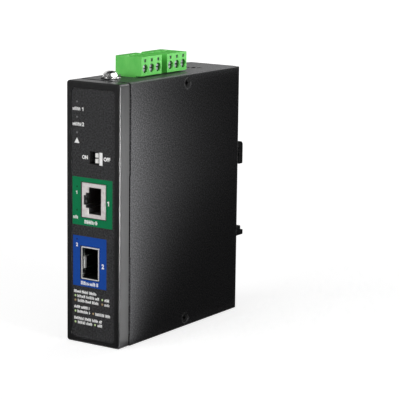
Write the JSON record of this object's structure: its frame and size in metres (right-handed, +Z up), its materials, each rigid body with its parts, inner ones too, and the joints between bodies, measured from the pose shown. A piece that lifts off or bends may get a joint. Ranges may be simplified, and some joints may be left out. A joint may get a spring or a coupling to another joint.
{
  "type": "industrial media converter",
  "caption": "Slim upright rail-mounted converter between a copper network jack and a fibre module slot, with pull-off screw terminals, small slide switches and a sprung rail bracket.",
  "frame": {"origin": "on the standing surface, under the middle of the whole object's box", "axes": "+Z up, front face towards -Y, rail bracket towards +Y, board side of the case towards -X"},
  "size_m": [0.03, 0.1056, 0.1293],
  "materials": {
    "bezel_plastic": "satin black moulding",
    "overlay_film": "printed charcoal film",
    "black_coat": "fine-textured black powder coat",
    "black_screw": "black oxide",
    "bright_steel": "zinc plated",
    "spring_steel": "bright spring steel",
    "bracket_coat": "black powder coat on a casting",
    "black_moulding": "matt black moulding",
    "white_moulding": "white moulding",
    "jack_metal": "nickel plated shell",
    "gold_plate": "gold flash",
    "tin_plate": "tin plated copper alloy",
    "cage_metal": "nickel plated sheet",
    "board_laminate": "green solder mask",
    "thermal_gel": "soft grey pad",
    "sink_aluminium": "plain extrusion",
    "ferrite": "ferrite and potting",
    "capacitor_can": "dark sleeve",
    "relay_case": "blue-black case",
    "led_lens": "clear moulding",
    "terminal_green": "green moulding"
  },
  "bodies": {
    "case": {"front_bezel": "bezel_plastic", "front_overlay": "overlay_film", "chassis": "black_coat", "wrap_cover": "black_coat", "cover_screws": "black_screw", "ground_screw": "bright_steel", "ground_washer": "bright_steel", "ground_nut": "bright_steel", "rail_bracket": "bracket_coat", "spring_pin": "spring_steel", "bracket_screws": "black_screw", "bracket_nuts": "bright_steel", "switch_body": "black_moulding", "rj45_shield": "jack_metal", "rj45_insert": "black_moulding", "rj45_contacts": "gold_plate", "sfp_cage": "cage_metal", "sfp_gasket": "cage_metal", "sfp_connector": "black_moulding", "main_board": "board_laminate", "board_standoffs": "gold_plate", "board_screws": "bright_steel", "magnetics": "black_moulding", "phy_chip": "black_moulding", "thermal_pad": "thermal_gel", "heat_sink": "sink_aluminium", "port_chip": "black_moulding", "poe_controller": "black_moulding", "power_transformer": "ferrite", "power_inductors": "ferrite", "capacitors": "capacitor_can", "alarm_relay": "relay_case", "status_leds": "led_lens", "light_pipes": "led_lens", "terminal_header_1": "terminal_green", "header_pins_1": "tin_plate", "terminal_header_2": "terminal_green", "header_pins_2": "tin_plate"},
    "slider_1": {"switch_slider_1": "white_moulding"},
    "slider_2": {"switch_slider_2": "white_moulding"},
    "plug_1": {"terminal_plug_1": "terminal_green", "plug_contacts_1": "tin_plate"},
    "screw_1": {"terminal_screw_1": "bright_steel"},
    "clamp_1": {"clamp_cage_1": "tin_plate"},
    "screw_2": {"terminal_screw_2": "bright_steel"},
    "clamp_2": {"clamp_cage_2": "tin_plate"},
    "screw_3": {"terminal_screw_3": "bright_steel"},
    "clamp_3": {"clamp_cage_3": "tin_plate"},
    "plug_2": {"terminal_plug_2": "terminal_green", "plug_contacts_2": "tin_plate"},
    "screw_4": {"terminal_screw_4": "bright_steel"},
    "clamp_4": {"clamp_cage_4": "tin_plate"},
    "screw_5": {"terminal_screw_5": "bright_steel"},
    "clamp_5": {"clamp_cage_5": "tin_plate"},
    "screw_6": {"terminal_screw_6": "bright_steel"},
    "clamp_6": {"clamp_cage_6": "tin_plate"},
    "spring": {"rail_spring": "spring_steel"}
  },
  "joints": [
    {"name": "slider_1_slide", "type": "slide", "parent": "case", "child": "slider_1", "axis": [1, 0, 0], "range_m": [-0.0026, 0]},
    {"name": "slider_2_slide", "type": "slide", "parent": "case", "child": "slider_2", "axis": [1, 0, 0], "range_m": [-0.0026, 0]},
    {"name": "plug_1_pull", "type": "slide", "parent": "case", "child": "plug_1", "axis": [0, 0, 1], "range_m": [0, 0.012]},
    {"name": "screw_1_turn", "type": "hinge", "parent": "plug_1", "child": "screw_1", "pos_m": [0.00495, -0.02303, 0.1239], "axis": [-1, 0, 0], "range_deg": [0, 1920]},
    {"name": "clamp_1_slide", "type": "slide", "parent": "plug_1", "child": "clamp_1", "axis": [1, 0, 0], "range_m": [0, 0.0024]},
    {"name": "screw_2_turn", "type": "hinge", "parent": "plug_1", "child": "screw_2", "pos_m": [0.00495, -0.01795, 0.1239], "axis": [-1, 0, 0], "range_deg": [0, 1920]},
    {"name": "clamp_2_slide", "type": "slide", "parent": "plug_1", "child": "clamp_2", "axis": [1, 0, 0], "range_m": [0, 0.0024]},
    {"name": "screw_3_turn", "type": "hinge", "parent": "plug_1", "child": "screw_3", "pos_m": [0.00495, -0.01287, 0.1239], "axis": [-1, 0, 0], "range_deg": [0, 1920]},
    {"name": "clamp_3_slide", "type": "slide", "parent": "plug_1", "child": "clamp_3", "axis": [1, 0, 0], "range_m": [0, 0.0024]},
    {"name": "plug_2_pull", "type": "slide", "parent": "case", "child": "plug_2", "axis": [0, 0, 1], "range_m": [0, 0.012]},
    {"name": "screw_4_turn", "type": "hinge", "parent": "plug_2", "child": "screw_4", "pos_m": [0.00495, -0.00303, 0.1239], "axis": [-1, 0, 0], "range_deg": [0, 1920]},
    {"name": "clamp_4_slide", "type": "slide", "parent": "plug_2", "child": "clamp_4", "axis": [1, 0, 0], "range_m": [0, 0.0024]},
    {"name": "screw_5_turn", "type": "hinge", "parent": "plug_2", "child": "screw_5", "pos_m": [0.00495, 0.00205, 0.1239], "axis": [-1, 0, 0], "range_deg": [0, 1920]},
    {"name": "clamp_5_slide", "type": "slide", "parent": "plug_2", "child": "clamp_5", "axis": [1, 0, 0], "range_m": [0, 0.0024]},
    {"name": "screw_6_turn", "type": "hinge", "parent": "plug_2", "child": "screw_6", "pos_m": [0.00495, 0.00713, 0.1239], "axis": [-1, 0, 0], "range_deg": [0, 1920]},
    {"name": "clamp_6_slide", "type": "slide", "parent": "plug_2", "child": "clamp_6", "axis": [1, 0, 0], "range_m": [0, 0.0024]},
    {"name": "rail_spring_flex", "type": "hinge", "parent": "case", "child": "spring", "pos_m": [-0.0097, 0.04745, 0.0774], "axis": [0, -1, 0], "range_deg": [0, 8], "stiffness_Nm_per_rad": 3}
  ],
  "couplings": [
    {"joint": "screw_1_turn", "follows": "clamp_1_slide", "rad_per_m": 13963},
    {"joint": "screw_2_turn", "follows": "clamp_2_slide", "rad_per_m": 13963},
    {"joint": "screw_3_turn", "follows": "clamp_3_slide", "rad_per_m": 13963},
    {"joint": "screw_4_turn", "follows": "clamp_4_slide", "rad_per_m": 13963},
    {"joint": "screw_5_turn", "follows": "clamp_5_slide", "rad_per_m": 13963},
    {"joint": "screw_6_turn", "follows": "clamp_6_slide", "rad_per_m": 13963}
  ]
}
